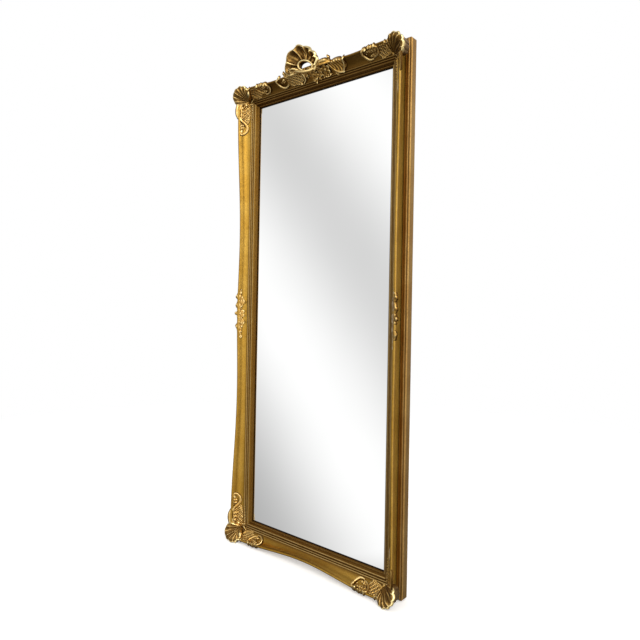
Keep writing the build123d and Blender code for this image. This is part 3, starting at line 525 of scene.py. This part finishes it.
class Carving:
    """A plan in millimetres: a runs along the moulding, b across it towards its lip.

    cover is positive inside the carving, and about the distance to its edge; height is
    its relief. Shapes are added one after the other, and the highest one shows.
    """

    def __init__(self, a_range, b_range, step=1.0):
        a = np.arange(a_range[0], a_range[1] + step / 2, step)
        b = np.arange(b_range[0], b_range[1] + step / 2, step)
        self.a, self.b = np.meshgrid(a, b, indexing="ij")
        self.step = step
        self.cover = np.full(self.a.shape, FAR_OUTSIDE)
        self.height = np.zeros(self.a.shape)

    def add(self, cover, height):
        self.height = np.where(cover > 0, np.maximum(self.height, height), self.height)
        self.cover = np.maximum(self.cover, cover)

    def trim(self, cover):
        self.cover = np.minimum(self.cover, cover)

    def near(self, points):
        """For each place in the plan: share of the way along a line, and distance from it."""
        line = curve_through(points)
        lengths = np.hypot(*(line[1:] - line[:-1]).T)
        done = np.concatenate([[0], np.cumsum(lengths)]) / lengths.sum()
        best = np.full(self.a.shape, 1e9)
        share = np.zeros(self.a.shape)
        for k in range(len(line) - 1):
            da, db = line[k + 1] - line[k]
            t = ((self.a - line[k][0]) * da + (self.b - line[k][1]) * db) / (da * da + db * db + 1e-12)
            t = np.clip(t, 0, 1)
            away = np.hypot(self.a - line[k][0] - t * da, self.b - line[k][1] - t * db)
            closer = away < best
            best = np.where(closer, away, best)
            share = np.where(closer, done[k] + t * (done[k + 1] - done[k]), share)
        return share, best

    def scroll(self, points, radii, rise=1.0, groove=0.0):
        """A rounded band along a line; radii are spread evenly along it."""
        share, away = self.near(points)
        radius = np.interp(share, np.linspace(0, 1, len(radii)), radii)
        height = rise * rounded(radius, away)
        height -= groove * radius * np.exp(-(away / (0.3 * radius)) ** 2)
        self.add(radius - away, height)

    def volute(self, a, b, radius, rise=1.0):
        """The round eye of a scroll, with a dimple."""
        away = np.hypot(self.a - a, self.b - b)
        height = rise * rounded(radius, away) + 0.8
        height -= 0.25 * radius * np.exp(-(away / (0.35 * radius)) ** 2)
        self.add(radius - away, height)

    def leaf(self, points, width, rise=4.0, lobes=4, base=1.0):
        """A lobed leaf along a line, with a vein, side ribs and a raised tip."""
        share, away = self.near(points)
        outline = np.sin(pi * np.clip(share, 0.02, 0.985) ** 0.8) ** 0.7
        outline *= 1 + 0.20 * np.cos(2 * pi * lobes * share)
        half = width / 2 * outline
        inside = np.clip(1 - (away / np.maximum(half, 0.1)) ** 2, 0, None)
        ribs = 0.72 + 0.28 * np.cos(2 * pi * lobes * (share - 0.16 * away / width * 2))
        height = base + rise * np.sqrt(inside) * ribs * (0.7 + 0.3 * share)
        height -= 0.30 * rise * np.exp(-(away / 0.9) ** 2)
        self.add(half - away, height)

    def pearls(self, points, count, first, last):
        """A row of beads that changes size evenly."""
        line = curve_through(points)
        for k in range(count):
            a, b = line[int(round(k * (len(line) - 1) / max(count - 1, 1)))]
            radius = first + (last - first) * k / max(count - 1, 1)
            away = np.hypot(self.a - a, self.b - b)
            self.add(radius - away, 0.8 + rounded(radius, away))

    def flower(self, a, b, radius, petals=5, rise=4.0, turn=0.0):
        """An open flower with a round heart."""
        da, db = self.a - a, self.b - b
        away = np.hypot(da, db)
        lobe = np.abs(np.cos(petals * (np.arctan2(db, da) - turn) / 2))
        reach = radius * (0.58 + 0.42 * lobe ** 0.7)
        share = np.clip(away / reach, 0, 1)
        height = 1 + rise * (0.55 + 0.45 * share) * np.sqrt(np.clip(1 - share ** 6, 0, None))
        height *= 0.70 + 0.30 * lobe
        heart = radius * 0.24
        height = np.maximum(height, np.where(
            away < heart, rise + 1.4 * np.sqrt(np.clip(1 - (away / heart) ** 2, 0, None)), 0))
        self.add(reach - away, height)

    def lattice(self, a, b, half_a, half_b, pitch=9.0, turn=0.0, base=1.2, rise=2.2, slant=0.0):
        """A diaper panel: crossing ribs with a bead in each square, on a domed ground."""
        da, db = self.a - a - slant * (self.b - b), self.b - b
        edge = 1 - (np.abs(da / half_a) ** 3 + np.abs(db / half_b) ** 3) ** (1 / 3)
        cover = edge * min(half_a, half_b)
        one = (da * cos(turn + 0.78) + db * sin(turn + 0.78)) / pitch
        two = (da * cos(turn - 0.78) + db * sin(turn - 0.78)) / pitch
        ridge_one = np.exp(-(((one % 1) - 0.5) / 0.15) ** 2)
        ridge_two = np.exp(-(((two % 1) - 0.5) / 0.15) ** 2)
        in_one, in_two = (one + 0.5) % 1 - 0.5, (two + 0.5) % 1 - 0.5
        bead = 0.85 * np.exp(-(in_one ** 2 + in_two ** 2) / 0.022)
        dome = np.sqrt(np.clip(edge, 0, 1)) * 1.8
        height = base + dome + rise * np.maximum(np.maximum(ridge_one, ridge_two), bead)
        self.add(cover, height)

    def reeds(self, a, b, half_a, half_b, count, turn=0.0, base=1.5, rise=2.5):
        """A panel of side-by-side rounded ribs."""
        da, db = self.a - a, self.b - b
        edge = 1 - (np.abs(da / half_a) ** 2.6 + np.abs(db / half_b) ** 2.6) ** (1 / 2.6)
        along = (da * cos(turn) + db * sin(turn)) / (2 * half_a) * count
        height = base + rise * np.abs(np.cos(pi * along)) ** 0.7 * np.clip(edge * 6, 0, 1)
        self.add(edge * min(half_a, half_b), height)

    def lay(self, surface, origin, along, across, out, free, thick=2.0):
        """Points, faces and ridge values of the carving, laid on a surface.

        The plan stands at origin; free is the lowest level behind it where nothing
        is hit, and thick is how far the back lies under the front's ground.
        """
        ground = np.full(self.a.shape, -free)
        wanted = blurred(np.where(self.cover > -4, 1.0, 0.0), 1) > 0
        for i, j in zip(*np.nonzero(wanted)):
            spot = origin + along * float(self.a[i, j]) + across * float(self.b[i, j])
            hit = surface.ray_cast((spot + out * RAY_START) * MM, -out, RAY_LENGTH)
            if hit[0] is not None:
                ground[i, j] = max(-free, (hit[0] / MM - spot).dot(out))
        ground = blurred(ground, EVEN_GROUND)
        relief = blurred(self.height, 1)
        ridge = np.clip(0.44 + (relief - blurred(relief, EVEN_RELIEF)) * 0.34, 0, 1)
        # Painted shadow: the value falls off towards each piece's edge, giving it a dark outline.
        ridge *= 0.25 + 0.75 * np.clip(self.cover / 1.8, 0, 1)
        sunk = np.clip(self.cover / 1.2, 0, 1)
        front = ground + relief - SKIRT_SINK * (1 - sunk)
        slope_a, slope_b = np.gradient(self.cover, self.step)
        steep = slope_a ** 2 + slope_b ** 2 + 1e-6
        move = np.clip(self.cover / steep, -1.4 * self.step, 0)
        a = self.a - move * slope_a
        b = self.b - move * slope_b

        inside = self.cover > 0
        cell = inside[:-1, :-1] | inside[1:, :-1] | inside[:-1, 1:] | inside[1:, 1:]
        used = np.zeros(inside.shape, bool)
        for shift_a in (0, 1):
            for shift_b in (0, 1):
                used[shift_a:shift_a + cell.shape[0], shift_b:shift_b + cell.shape[1]] |= cell
        number = np.cumsum(used.ravel()).reshape(used.shape) - 1
        total = int(used.sum())
        basis = np.array([along, across, out], float)
        flat = np.stack([a[used], b[used]], 1)
        place = np.array(origin, float) + flat @ basis[:2]
        points = np.vstack([place + front[used][:, None] * basis[2],
                            place + (ground[used] - thick)[:, None] * basis[2]])
        faces = []
        flip = Vector(along).cross(across).dot(out) < 0
        grid = np.pad(cell, 1)
        for i, j in zip(*np.nonzero(cell)):
            corners = [number[i, j], number[i + 1, j], number[i + 1, j + 1], number[i, j + 1]]
            faces.append(corners)
            faces.append([total + corner for corner in reversed(corners)])
            neighbours = (grid[i + 1, j], grid[i + 2, j + 1], grid[i + 1, j + 2], grid[i, j + 1])
            for side, filled in enumerate(neighbours):
                if not filled:
                    start, end = corners[side], corners[(side + 1) % 4]
                    faces.append([end, start, total + start, total + end])
        if flip:
            faces = [face[::-1] for face in faces]
        # Painted shade: the back points take a low value, so the back and side walls glaze dark.
        values = np.concatenate([ridge[used], np.full(total, BACK_SHADE_VALUE)])
        return points, faces, values


# ------------------------------------
# Fans: fluted shells with thin ridges and a scalloped rim, closed behind
# ------------------------------------
def smooth_interp(x, xs, ys):
    """Values between the given ones, easing in and out of each."""
    spot = np.interp(x, xs, np.arange(len(xs)))
    low = np.clip(np.floor(spot).astype(int), 0, len(xs) - 2)
    t = spot - low
    t = t * t * (3 - 2 * t)
    ys = np.array(ys, float)
    return ys[low] * (1 - t) + ys[low + 1] * t


SHARES_ALONG = 19                 # places along a fan's ray


def fan_shell(outline, inner, flutes, profile, ridge_rise, dish, rim, back, scallop, steps=12,
              mid_rib=0.0):
    """Points, faces and ridges of a fan in its own plan: x and y in the plan, z out of it.

    outline lists (degrees, reach, share of the full height); inner(turn) is the start
    radius; profile lists (share of the radius, height); ridge_rise is the height of the
    ridges between flutes and dish the depth of a flute; rim is the radius of the rounded
    edge; back is the height of the flat back; scallop is the share of its reach that the
    edge loses at a ridge; steps is the number of rays in a flute; mid_rib is the height of
    its fine rib.
    """
    angles, reaches, crowns = zip(*outline)
    turns = np.radians(np.linspace(angles[0], angles[-1], flutes * steps + 1))
    shares = np.linspace(0, 1, SHARES_ALONG)
    heights = np.interp(shares, *zip(*profile))
    heights = np.convolve(np.pad(heights, 2, mode="edge"), np.full(5, 0.2), mode="valid")
    roll = np.radians(np.arange(0, 181, 30))
    points = []
    values = []
    for k, turn in enumerate(turns):
        lobe = abs(sin(pi * k / steps)) ** 0.7
        reach = float(smooth_interp(degrees(turn), angles, reaches)) * (1 - scallop + scallop * lobe)
        crown = float(smooth_interp(degrees(turn), angles, crowns))
        start = inner(turn)
        ray = np.array([cos(turn), sin(turn), 0])
        ridge = max(0.0, 1 - lobe * 1.6)
        edge = reach - rim
        for share, height in zip(shares, heights):
            fade = min(1.0, share * 3)
            level = back + (height - back) * crown
            level += ridge_rise * ridge * fade - dish * lobe * sin(pi * share) ** 0.8
            rib = exp(-((k / steps % 1 - 0.5) / 0.09) ** 2) * sin(pi * share) ** 0.7
            level += mid_rib * rib
            points.append(ray * (start + (edge - start) * share) + np.array([0, 0, level]))
            crest_value = max(0.9 * ridge * (0.6 + 0.4 * share), 0.16 * mid_rib * rib + 0.2)
            values.append(max(0.16 + 0.14 * share, crest_value))
        top = back + (heights[-1] - back) * crown + ridge_rise * ridge
        for angle in roll:
            radius = edge + rim * sin(angle)
            points.append(ray * radius + np.array([0, 0, top - rim + rim * cos(angle)]))
            # The front of the rolled rim is rubbed pale, partly as painted highlight; its back is left
            # dark as painted shade.
            values.append(0.95 if angle < 1.9 else 0.36)
        # Painted shade: the closing points behind the fan take low values.
        points.append(ray * edge + np.array([0, 0, min(back, top - 2.5 * rim)]))
        points.append(ray * start + np.array([0, 0, min(back, heights[0]) - 3]))
        values += [0.26, 0.22]
    row = len(shares) + len(roll) + 2
    faces = []
    for k in range(len(turns) - 1):
        for j in range(row):
            other = (j + 1) % row
            faces.append([k * row + j, k * row + other, (k + 1) * row + other, (k + 1) * row + j])
    faces.append(list(reversed(range(row))))
    faces.append([(len(turns) - 1) * row + j for j in range(row)])
    return np.array(points), faces, np.array(values)


def tube(points, radii, flat=1.0, value=0.9, around=12, closed=False):
    """A rounded bar along a smooth line; flat narrows it front to back."""
    line = curve_through(points, 6)
    if closed:
        line = line[:-1]
    size = np.interp(np.linspace(0, 1, len(line)), np.linspace(0, 1, len(radii)), radii)
    made = []
    values = []
    outward = np.array([0, 0, 1.0])
    for k, spot in enumerate(line):
        if closed:
            heading = line[(k + 1) % len(line)] - line[k - 1]
        else:
            heading = line[min(k + 1, len(line) - 1)] - line[max(k - 1, 0)]
        heading /= np.linalg.norm(heading)
        side = np.cross(heading, outward)
        side /= np.linalg.norm(side) + 1e-9
        lift = np.cross(side, heading)
        for step in range(around):
            turn = 2 * pi * step / around
            made.append(spot + size[k] * (side * cos(turn) + lift * sin(turn) * flat))
            # Painted highlight and shade: the bar is valued light on its front and dark on its back.
            values.append(value * (0.55 + 0.45 * sin(turn)))
    faces = []
    rings = len(line)
    for k in range(rings if closed else rings - 1):
        for step in range(around):
            other = (step + 1) % around
            after = (k + 1) % rings
            faces.append([k * around + step, k * around + other, after * around + other,
                          after * around + step])
    if not closed:
        faces.append(list(reversed(range(around))))
        faces.append([(rings - 1) * around + step for step in range(around)])
    return np.array(made), faces, np.array(values)


PRESS_EASE = 3.0                  # millimetres below a limit where the pressing begins
ARM_LIMIT = (0.935, 5.0)          # height over the glass: for each mm beside it, and at its edge
FAN_LIMIT = (0.93, 1.7, 9.0)      # for each mm beside it, above or below it, and at its edge


def pressed_under(part, limit):
    """Hold a part's front under a limit of height above the glass, easing into it."""
    points, faces, values = part
    height = GLASS_Y - points[:, 1]
    free = limit - PRESS_EASE
    over = height - free
    eased = np.where(over > 0, free + PRESS_EASE * np.tanh(over / PRESS_EASE), height)
    points = points.copy()
    points[:, 1] = GLASS_Y - eased
    return points, faces, values


def drawn_in(part):
    """Press a part's front towards the frame, more so near the glass, out of its reflection."""
    beside = np.abs(part[0][:, 0]) - HALF_W
    return pressed_under(part, ARM_LIMIT[0] * beside + ARM_LIMIT[1])


def placed(part, origin, along, across, out):
    """A part made in its own plan, put in the row frame."""
    points, faces, values = part
    basis = np.array([along, across, out], float)
    if Vector(along).cross(across).dot(out) < 0:
        faces = [face[::-1] for face in faces]
    return np.array(origin, float) + points @ basis, faces, values


def joined(name, parts, replaced, look):
    """One object from several parts; it stands for the CAD node and rides on the frame."""
    points = []
    faces = []
    values = []
    for part_points, part_faces, part_values in parts:
        first = len(points)
        points += (part_points * MM).tolist()
        faces += [[first + int(corner) for corner in face] for face in part_faces]
        values += part_values.tolist()
    mesh = bpy.data.meshes.new(name)
    mesh.from_pydata(points, [], faces)
    mesh.validate()
    layer = mesh.attributes.new("ridge", "FLOAT", "POINT")
    layer.data.foreach_set("value", np.array(values, np.float32))
    mesh.shade_smooth()
    mesh.materials.append(look)
    made = bpy.data.objects.new(name, mesh)
    scene.collection.objects.link(made)
    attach(made, BODY)
    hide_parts(replaced)
    return made


# ------------------------------------
# Ornaments
# ------------------------------------
class Slope:
    """The tilted plan over one side's cove: from the cove's start, up to its lip."""

    def __init__(self, outward, rise_degrees):
        self.outward = Vector(outward)
        self.angle = radians(rise_degrees)
        self.across = self.outward * cos(self.angle) + FRONT * sin(self.angle)
        self.out = FRONT * cos(self.angle) - self.outward * sin(self.angle)

    def start(self, anchor):
        return Vector(anchor) + self.outward * LIP_RUN[0] + FRONT * LIP_RUN[1]


CORNER_SLOPE = 53.7               # slope of the cove at a corner, in degrees
TOP_SLOPE = 46.9                  # and in the middle of the top rail
MITRE_ROOM = 4.0                  # how far an arm reaches over the mitre, under the fan
CORNER_FREE = 7.0                 # how far behind its plan a carving's ground may lie
TOP_FREE = 5.0
SPRAY_FREE = 6.0
FAN_ROOT = (24.0, 20.0)           # outward of the sight edge's corner, sideways and up or down
FAN_HUB = 3.0                     # radius where a corner fan's flutes begin


def mitre_edge(plan):
    """Room left for the other arm: positive on this arm's own side of the mitre."""
    return plan.a + LIP_RUN[0] + plan.b * cos(radians(CORNER_SLOPE)) + MITRE_ROOM


def stile_arm():
    """Along the stile: a C-scroll, a lattice with leaves, then a hooked scroll."""
    plan = Carving((-60, 110), (-8, 58))
    plan.lattice(20, 21, 42, 19, 12.5, 0.0, 1.0, 2.2)
    plan.flower(-20, 9, 13, 5, 4.4, 0.6)
    plan.leaf([(42, 34), (26, 30), (8, 30), (-8, 34)], 19, 5.4, 4, 2.2)
    plan.leaf([(56, 24), (44, 14), (30, 6)], 13, 4.6, 4, 2.0)
    for reach, width in (((58, 40), 12), ((56, 28), 12)):
        plan.leaf([(86, 30), ((86 + reach[0]) / 2, reach[1] * 0.55 + 13), reach], width, 4.6, 3, 1.6)
    plan.scroll([(-10, 17), (-20, 22), (-23, 34), (-14, 44), (4, 50), (24, 51), (38, 47)],
                (3.6, 5.0, 6.0, 6.6, 6.6, 5.6, 3.6), 1.25, 0.14)
    plan.volute(-10, 18, 5.8, 1.3)
    plan.scroll([(34, 49), (45, 40), (54, 25), (68, 14), (84, 15), (96, 25), (98, 37), (89, 42)],
                (3.6, 4.8, 5.8, 6.2, 5.8, 5.2, 4.4, 3.2), 1.35, 0.14)
    plan.volute(88, 38, 5.6, 1.4)
    plan.pearls([(-12, -3.5), (14, -3.5), (52, -3)], 12, 2.8, 2.0)
    plan.trim(mitre_edge(plan))
    return plan


def rail_arm():
    """Along the rail: a C-band, a lattice, a slanting band, leaves and an end scroll."""
    plan = Carving((-60, 96), (-8, 54))
    plan.lattice(8, 22, 34, 20, 10.0, 0.1, 1.0, 2.8)
    plan.flower(-20, 9, 13, 5, 4.4, 0.6)
    plan.leaf([(30, 26), (48, 30), (74, 33)], 15, 5.0, 5, 1.8)
    plan.leaf([(32, 32), (48, 42), (66, 46)], 12, 4.2, 4, 1.6)
    plan.leaf([(34, 20), (50, 16), (68, 14)], 12, 4.2, 4, 1.6)
    plan.leaf([(2, 8), (16, 3), (32, 1)], 9, 3.2, 4, 1.4)
    plan.leaf([(-8, 40), (-24, 42), (-46, 46)], 20, 5.0, 3, 3.0)
    plan.leaf([(-10, 24), (-22, 28), (-38, 32)], 18, 5.0, 3, 3.0)
    plan.scroll([(-2, 46), (-12, 36), (-15, 22), (-8, 10), (6, 3)], (3.0, 4.4, 4.8, 4.0, 2.6), 1.5, 0.14)
    plan.scroll([(36, 46), (28, 38), (30, 26), (40, 15), (54, 9)], (3.0, 4.6, 5.0, 4.2, 2.8), 1.6, 0.14)
    plan.volute(37, 45, 4.8, 1.5)
    plan.scroll([(56, 6), (70, 7), (81, 16), (85, 29), (80, 41), (71, 44)],
                (2.8, 4.0, 5.0, 5.2, 4.4, 3.4), 1.6, 0.14)
    plan.volute(70, 41, 5.2, 1.5)
    plan.pearls([(74, 24), (76, 31)], 2, 2.8, 2.4)
    plan.trim(mitre_edge(plan))
    return plan


def corner_fan():
    """The scallop shell that caps a mitre: a fluted dome, fat at its rim."""
    outline = [(-24, 40, 0.60), (0, 51, 0.80), (20, 56, 0.94), (45, 56, 1.0),
               (70, 53, 0.95), (88, 49, 0.86), (106, 41, 0.72), (124, 34, 0.55)]
    profile = [(0.0, 34), (0.2, 48), (0.45, 62), (0.7, 72), (0.85, 76), (1.0, 73)]
    return fan_shell(outline, lambda turn: FAN_HUB, 7, profile, 2.2, 3.0, 5.0, 30.0, 0.08)


def clear_of_glass(part):
    """Lower a corner fan's root, so that the glass does not mirror it."""
    beside = np.abs(part[0][:, 0]) - HALF_W
    beyond = np.abs(part[0][:, 2] - MID_Z) - HALF_H
    limit = np.maximum(FAN_LIMIT[0] * beside, FAN_LIMIT[1] * beyond) + FAN_LIMIT[2]
    return pressed_under(part, limit)


def corner_ornament(name, x_sign, z_sign, arms, fan, surface, look):
    """Two carved arms that meet at a mitre, and the fan that caps it."""
    anchor = Vector((x_sign * HALF_W, GLASS_Y, MID_Z + z_sign * HALF_H))
    outward_x = Vector((x_sign, 0, 0))
    outward_z = Vector((0, 0, z_sign))
    parts = []
    stile_slope = Slope(outward_x, CORNER_SLOPE)
    parts.append(drawn_in(arms[0].lay(surface, stile_slope.start(anchor), -outward_z,
                                      stile_slope.across, stile_slope.out, CORNER_FREE)))
    rail_slope = Slope(outward_z, CORNER_SLOPE)
    parts.append(arms[1].lay(surface, rail_slope.start(anchor), -outward_x,
                             rail_slope.across, rail_slope.out, CORNER_FREE))
    root = anchor + outward_x * FAN_ROOT[0] + outward_z * FAN_ROOT[1]
    parts.append(clear_of_glass(placed(fan, root, outward_x, outward_z, FRONT)))
    joined(f"{name}_casting", parts, name, look)


TOP_ANCHOR = Vector((0, GLASS_Y, SIGHT_TOP))
CREST_RELIEF = 1.45               # how much bolder the medallions are than the corner arms


def left_medallion():
    """A hooked scroll, a sprig and a lattice medallion, in the cove left of the shell."""
    plan = Carving((-164, -34), (-6, 66))
    plan.lattice(-82, 27, 37, 25, 10.5, 0.15, 1.4, 2.6)
    plan.leaf([(-122, 10), (-100, 14), (-74, 6), (-52, -1)], 13, 4.0, 6, 1.6)
    plan.leaf([(-112, 40), (-118, 48), (-117, 58)], 12, 3.6, 3, 1.6)
    plan.leaf([(-140, 26), (-130, 27), (-116, 30)], 13, 4.0, 3, 1.6)
    plan.scroll([(-144, 46), (-155, 38), (-158, 26), (-152, 14), (-138, 7), (-124, 9), (-115, 18),
                 (-114, 29), (-121, 36)], (3.0, 4.2, 4.8, 4.8, 4.2, 3.6, 3.0), 1.3, 0.12)
    plan.volute(-123, 33, 5.0, 1.2)
    plan.volute(-143, 45, 4.6, 1.2)
    plan.scroll([(-104, 46), (-112, 34), (-110, 20), (-100, 8)], (2.4, 3.4, 3.4, 2.4), 1.2, 0.1)
    plan.scroll([(-92, 57), (-68, 56), (-50, 45), (-42, 30), (-42, 12), (-52, 2)],
                (2.6, 4.4, 4.8, 4.6, 4.0, 2.8), 1.4, 0.12)
    return plan


def right_medallion():
    """A flower under a rolled leaf, a sprig and a reeded panel, right of the shell."""
    plan = Carving((24, 144), (-8, 74))
    plan.reeds(104, 24, 30, 22, 6, 0.25, 2.0, 3.0)
    plan.leaf([(34, 6), (52, 2), (70, 4)], 12, 3.6, 4, 1.6)
    plan.leaf([(80, 10), (90, 0), (98, -6)], 10, 3.6, 3, 1.4)
    plan.leaf([(70, 44), (78, 52), (77, 62)], 12, 3.6, 3, 1.6)
    plan.leaf([(30, 30), (32, 42), (40, 50)], 12, 4.0, 3, 2.0)
    plan.flower(50, 22, 20, 5, 5.0, 0.4)
    plan.pearls([(31, 18), (31, 8), (36, 0)], 3, 3.6, 2.6)
    plan.scroll([(26, 40), (44, 47), (64, 47), (82, 41)], (4.0, 9.0, 9.0, 4.0), 0.9, 0.10)
    plan.scroll([(72, 42), (74, 28), (84, 12), (100, 3), (118, 0)], (3.0, 4.6, 5.0, 4.6, 3.6), 1.5, 0.12)
    plan.scroll([(116, -1), (124, 16), (130, 30), (134, 41)], (3.6, 4.2, 4.4, 3.8), 1.6, 0.0)
    return plan


def shell_drop():
    """Leaves that hang from the shell into the cove."""
    plan = Carving((-52, 40), (-12, 46))
    plan.leaf([(-6, 46), (-6, 24), (0, 2), (4, -9)], 34, 5.5, 4, 3.0)
    plan.leaf([(-24, 46), (-32, 30), (-28, 12)], 20, 4.6, 4, 2.4)
    plan.leaf([(12, 46), (24, 30), (24, 12), (16, 0)], 18, 4.6, 4, 2.4)
    plan.leaf([(2, 20), (14, 8), (22, -4)], 11, 4.0, 3, 2.0)
    return plan


HOLE = (-20.0, 66.0)              # the shell's piercing: across and above the sight edge
HOLE_HALF = (29.0, 12.5)
HOLE_TILT = radians(-20)


def hole_reach(turn, margin):
    """Distance from the middle of the piercing to its edge, in a direction."""
    off = turn - HOLE_TILT
    half_long, half_short = HOLE_HALF[0] + margin, HOLE_HALF[1] + margin
    return half_long * half_short / hypot(half_short * cos(off), half_long * sin(off))


def crest_shell():
    """The pierced shell: flutes round the hole, and rolled edges above and below it."""
    outline = [(-14, 50, 0.8), (12, 58, 0.9), (45, 55, 1.0), (72, 60, 1.0), (95, 70, 1.0),
               (118, 87, 1.0), (142, 97, 1.0), (163, 95, 1.0), (180, 90, 0.9), (196, 80, 0.8)]
    profile = [(0.0, 57), (0.12, 52), (0.5, 47), (0.72, 51), (0.86, 62), (1.0, 66)]
    fan = fan_shell(outline, lambda turn: hole_reach(turn, 3.5), 6, profile, 5.0, 5.0, 7.0, 40.0,
                    0.12, 16, 1.8)
    turns = np.linspace(0, 2 * pi, 25)
    ring = []
    for turn in turns:
        reach = hole_reach(turn, 3.0)
        ring.append((reach * cos(turn), reach * sin(turn), 55.0 + 3.0 * sin(turn)))
    hoop = tube(ring, (3.6, 3.6), 1.2, 0.8, 12, True)
    lower = tube([(-66, 4, 50), (-46, -6, 56), (-20, -16, 60), (4, -22, 61), (24, -21, 57),
                  (38, -13, 50)], (3.0, 4.6, 5.6, 5.8, 4.6, 3.0), 0.8, 0.72, 16)
    end_eye = tube([(-84, -4, 50), (-80, 6, 53), (-70, 6, 55), (-70, -2, 54)],
                   (2.6, 4.4, 4.4, 2.6), 1.0, 0.85)
    right_band = tube([(34, -22, 50), (44, -6, 50), (48, 8, 52), (44, 20, 54)],
                      (5.0, 6.0, 5.0, 3.0), 0.9, 0.8)
    return (fan, hoop, lower, end_eye, right_band)


def side_spray():
    """A leaf spray on the lip at mid-height: leaves above, a flower, leaves below, a bud."""
    plan = Carving((-92, 92), (-20, 22))
    plan.scroll([(-84, -3), (-40, 1), (0, 0), (50, 1), (84, -3)], (2.0, 3.4, 4.2, 3.4, 1.6), 1.0)
    for along, side, reach in ((10, 1, 42), (24, -1, 40), (46, 1, 34), (-10, -1, -38), (-26, 1, -36)):
        plan.leaf([(along, 2 * side), (along + reach / 2, 8 * side), (along + reach, 7 * side)],
                  16, 6.4, 2, 1.8)
    plan.leaf([(60, 0), (76, -1), (90, -5)], 11, 5.4, 2, 1.6)
    plan.leaf([(-50, 0), (-62, -2), (-76, -4)], 11, 5.4, 2, 1.6)
    plan.leaf([(-74, -2), (0, 0), (78, -2)], 20, 3.0, 1, 1.2)
    plan.flower(2, 1, 19, 5, 6.8, 0.3)
    plan.volute(-82, -4, 6.0, 1.0)
    return plan


def crest(surface, look):
    """The two medallions and the shell between them, over the top rail."""
    slope = Slope((0, 0, 1), TOP_SLOPE)
    across = Vector((1, 0, 0))
    place = (slope.start(TOP_ANCHOR), across, slope.across, slope.out)
    for name, plan in (("crest_left_cartouche", left_medallion()),
                       ("crest_right_cartouche", right_medallion())):
        plan.height *= CREST_RELIEF
        joined(f"{name}_casting", [plan.lay(surface, *place, TOP_FREE)], name, look)
    middle = TOP_ANCHOR + across * HOLE[0] + slope.outward * HOLE[1]
    parts = [placed(part, middle, across, slope.outward, FRONT) for part in crest_shell()]
    parts.append(shell_drop().lay(surface, *place, TOP_FREE))
    joined("crest_shell_casting", parts, "crest_shell", look)


SPRAY_SLOPE = 30.0                # of the plan a spray is drawn on, in degrees
SPRAY_START = (42.0, 46.0)        # outward and forward of the sight edge


def side_sprays(surface, look):
    """A spray on each stile's lip, one the mirror image of the other."""
    plan = side_spray()
    for name, x_sign in (("left", -1), ("right", 1)):
        slope = Slope((x_sign, 0, 0), SPRAY_SLOPE)
        start = Vector((x_sign * (HALF_W + SPRAY_START[0]), GLASS_Y - SPRAY_START[1], MID_Z))
        part = plan.lay(surface, start, Vector((0, 0, 1)), slope.across, slope.out, SPRAY_FREE)
        part = drawn_in(part)
        joined(f"{name}_side_spray_casting", [part], f"{name}_side_spray", look)


def main():
    scene.view_settings.view_transform = "Standard"
    make_camera()
    make_world()
    make_floor()
    looks = make_materials()
    for part in frame["record"]["subparts"]:
        for place in NODES[part["node"]].material_slots:
            place.material = looks[part["material_slot"]]
    surface = moulding_surface("top_rail", "bottom_rail", "left_stile", "right_stile")
    arms = (stile_arm(), rail_arm())
    fan = corner_fan()
    for x_name, x_sign in (("left", -1), ("right", 1)):
        for z_name, z_sign in (("top", 1), ("bottom", -1)):
            corner_ornament(f"corner_ornament_{z_name}_{x_name}", x_sign, z_sign, arms, fan,
                            surface, looks["gilt_casting"])
    crest(surface, looks["gilt_casting"])
    side_sprays(surface, looks["gilt_casting"])


main()
